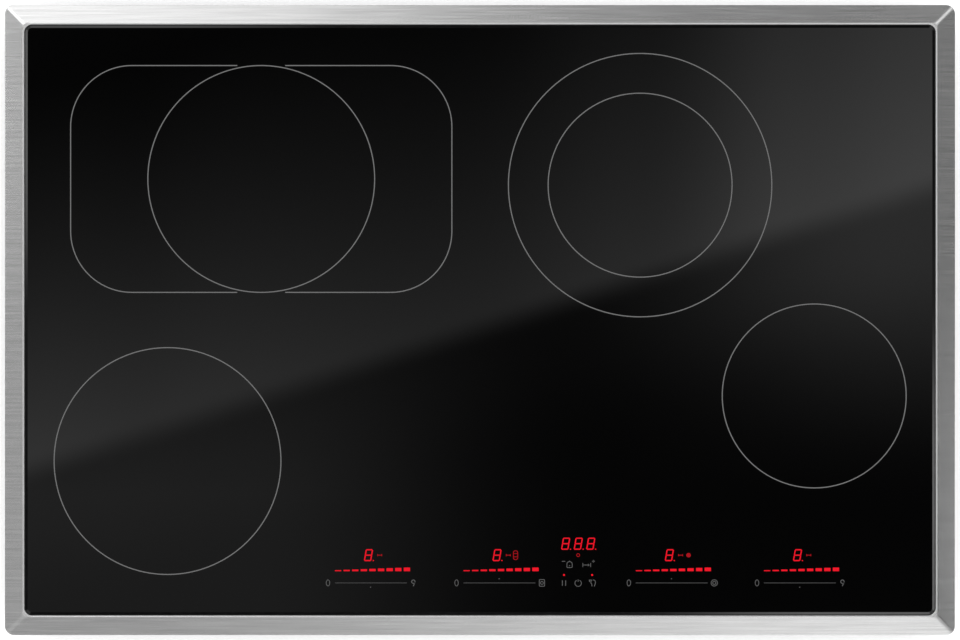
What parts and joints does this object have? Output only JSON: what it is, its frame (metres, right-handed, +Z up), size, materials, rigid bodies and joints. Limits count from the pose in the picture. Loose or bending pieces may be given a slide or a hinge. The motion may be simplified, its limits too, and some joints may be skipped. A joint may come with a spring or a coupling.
{
  "type": "induction cooktop",
  "caption": "Built-in electric induction cooktop: black glass with printed cooking zones and slider touch controls in a bevelled brushed steel frame",
  "frame": {"origin": "centre of the housing's underside, in the middle of the frame in plan", "axes": "+X to the user's right, +Y from the user's edge to the back, +Z up"},
  "size_m": [0.754, 0.5, 0.056],
  "materials": {
    "brushed_frame": "brushed along the length",
    "black_glass": "polished",
    "black_silicone": "satin",
    "grey_foam": "matt",
    "galvanised_sheet": "galvanised",
    "zinc_screws": "zinc plated",
    "aluminium_sheet": "mill finish",
    "black_plastic": "moulded",
    "white_plastic": "moulded",
    "grey_plastic": "moulded",
    "carrier_plastic": "glass filled",
    "motor_steel": "laminated",
    "green_board": "lacquered",
    "capacitor_plastic": "boxed",
    "copper_wire": "stranded",
    "brass_screws": "turned",
    "lead_insulation": "extruded",
    "display_plastic": "tinted",
    "spring_steel": "drawn wire",
    "ferrite": "sintered",
    "mica": "pressed sheet"
  },
  "bodies": {
    "cooktop": {"board_pillars": "white_plastic", "cable_gland": "black_plastic", "clamp_brackets": "galvanised_sheet", "coil_plate": "aluminium_sheet", "display_modules": "display_plastic", "edge_seal": "black_silicone", "fan_housings": "black_plastic", "fan_motors": "motor_steel", "film_capacitors": "capacitor_plastic", "filter_chokes": "copper_wire", "glass_bond_bead": "black_silicone", "glass_plate": "black_glass", "heatsinks": "aluminium_sheet", "housing_screws": "zinc_screws", "internal_leads": "lead_insulation", "lower_housing": "galvanised_sheet", "plate_screws": "zinc_screws", "power_boards": "green_board", "power_transistors": "black_plastic", "steel_frame": "brushed_frame", "support_posts": "aluminium_sheet", "temperature_sensors": "white_plastic", "terminal_block": "white_plastic", "terminal_box": "grey_plastic", "terminal_screws": "brass_screws", "touch_board": "green_board", "touch_carrier": "black_plastic", "touch_springs": "spring_steel", "worktop_gasket": "grey_foam"},
    "fan_left": {"fan_rotor_left": "black_plastic"},
    "fan_right": {"fan_rotor_right": "black_plastic"},
    "clamp_front_right_screw": {"clamp_screw_front_right": "zinc_screws"},
    "clamp_front_right_claw": {"clamp_claw_front_right": "galvanised_sheet"},
    "clamp_rear_right_screw": {"clamp_screw_rear_right": "zinc_screws"},
    "clamp_rear_right_claw": {"clamp_claw_rear_right": "galvanised_sheet"},
    "clamp_front_left_screw": {"clamp_screw_front_left": "zinc_screws"},
    "clamp_front_left_claw": {"clamp_claw_front_left": "galvanised_sheet"},
    "clamp_rear_left_screw": {"clamp_screw_rear_left": "zinc_screws"},
    "clamp_rear_left_claw": {"clamp_claw_rear_left": "galvanised_sheet"},
    "coil_module_front_left": {"coil_carrier_front_left": "carrier_plastic", "ferrite_bars_front_left": "ferrite", "insulation_disc_front_left": "mica", "coil_windings_front_left": "copper_wire", "carrier_springs_front_left": "spring_steel"},
    "coil_module_rear_left": {"coil_carrier_rear_left": "carrier_plastic", "ferrite_bars_rear_left": "ferrite", "insulation_disc_rear_left": "mica", "coil_windings_rear_left": "copper_wire", "carrier_springs_rear_left": "spring_steel"},
    "coil_module_rear_right": {"coil_carrier_rear_right": "carrier_plastic", "ferrite_bars_rear_right": "ferrite", "insulation_disc_rear_right": "mica", "coil_windings_rear_right": "copper_wire", "carrier_springs_rear_right": "spring_steel"},
    "coil_module_front_right": {"coil_carrier_front_right": "carrier_plastic", "ferrite_bars_front_right": "ferrite", "insulation_disc_front_right": "mica", "coil_windings_front_right": "copper_wire", "carrier_springs_front_right": "spring_steel"},
    "terminal_cover": {"terminal_cover": "grey_plastic"}
  },
  "joints": [
    {"name": "fan_left_spin", "type": "hinge", "parent": "cooktop", "child": "fan_left", "pos_m": [-0.15, -0.14, 0.015], "axis": [0, 0, 1], "continuous": true},
    {"name": "fan_right_spin", "type": "hinge", "parent": "cooktop", "child": "fan_right", "pos_m": [0.11, -0.14, 0.015], "axis": [0, 0, 1], "continuous": true},
    {"name": "clamp_front_right_lift", "type": "slide", "parent": "cooktop", "child": "clamp_front_right_screw", "axis": [0, 0, 1], "range_m": [0, 0.012]},
    {"name": "clamp_front_right_swing", "type": "hinge", "parent": "clamp_front_right_screw", "child": "clamp_front_right_claw", "pos_m": [0.3535, -0.13, 0.0075], "axis": [0, 0, -1], "range_deg": [0, 90]},
    {"name": "clamp_rear_right_lift", "type": "slide", "parent": "cooktop", "child": "clamp_rear_right_screw", "axis": [0, 0, 1], "range_m": [0, 0.012]},
    {"name": "clamp_rear_right_swing", "type": "hinge", "parent": "clamp_rear_right_screw", "child": "clamp_rear_right_claw", "pos_m": [0.3535, 0.13, 0.0075], "axis": [0, 0, -1], "range_deg": [0, 90]},
    {"name": "clamp_front_left_lift", "type": "slide", "parent": "cooktop", "child": "clamp_front_left_screw", "axis": [0, 0, 1], "range_m": [0, 0.012]},
    {"name": "clamp_front_left_swing", "type": "hinge", "parent": "clamp_front_left_screw", "child": "clamp_front_left_claw", "pos_m": [-0.3535, -0.13, 0.0075], "axis": [0, 0, -1], "range_deg": [0, 90]},
    {"name": "clamp_rear_left_lift", "type": "slide", "parent": "cooktop", "child": "clamp_rear_left_screw", "axis": [0, 0, 1], "range_m": [0, 0.012]},
    {"name": "clamp_rear_left_swing", "type": "hinge", "parent": "clamp_rear_left_screw", "child": "clamp_rear_left_claw", "pos_m": [-0.3535, 0.13, 0.0075], "axis": [0, 0, -1], "range_deg": [0, 90]},
    {"name": "coil_front_left_float", "type": "slide", "parent": "cooktop", "child": "coil_module_front_left", "axis": [0, 0, 1], "range_m": [-0.0025, 0], "stiffness_N_per_m": 3000, "springref_m": 0.006, "deforming": ["carrier_springs_front_left"]},
    {"name": "coil_rear_left_float", "type": "slide", "parent": "cooktop", "child": "coil_module_rear_left", "axis": [0, 0, 1], "range_m": [-0.0025, 0], "stiffness_N_per_m": 3000, "springref_m": 0.006, "deforming": ["carrier_springs_rear_left"]},
    {"name": "coil_rear_right_float", "type": "slide", "parent": "cooktop", "child": "coil_module_rear_right", "axis": [0, 0, 1], "range_m": [-0.0025, 0], "stiffness_N_per_m": 3000, "springref_m": 0.006, "deforming": ["carrier_springs_rear_right"]},
    {"name": "coil_front_right_float", "type": "slide", "parent": "cooktop", "child": "coil_module_front_right", "axis": [0, 0, 1], "range_m": [-0.0025, 0], "stiffness_N_per_m": 3000, "springref_m": 0.006, "deforming": ["carrier_springs_front_right"]},
    {"name": "terminal_cover_hinge", "type": "hinge", "parent": "cooktop", "child": "terminal_cover", "pos_m": [0.27, 0.1504, 0.0021], "axis": [-1, 0, 0], "range_deg": [0, 110]}
  ]
}
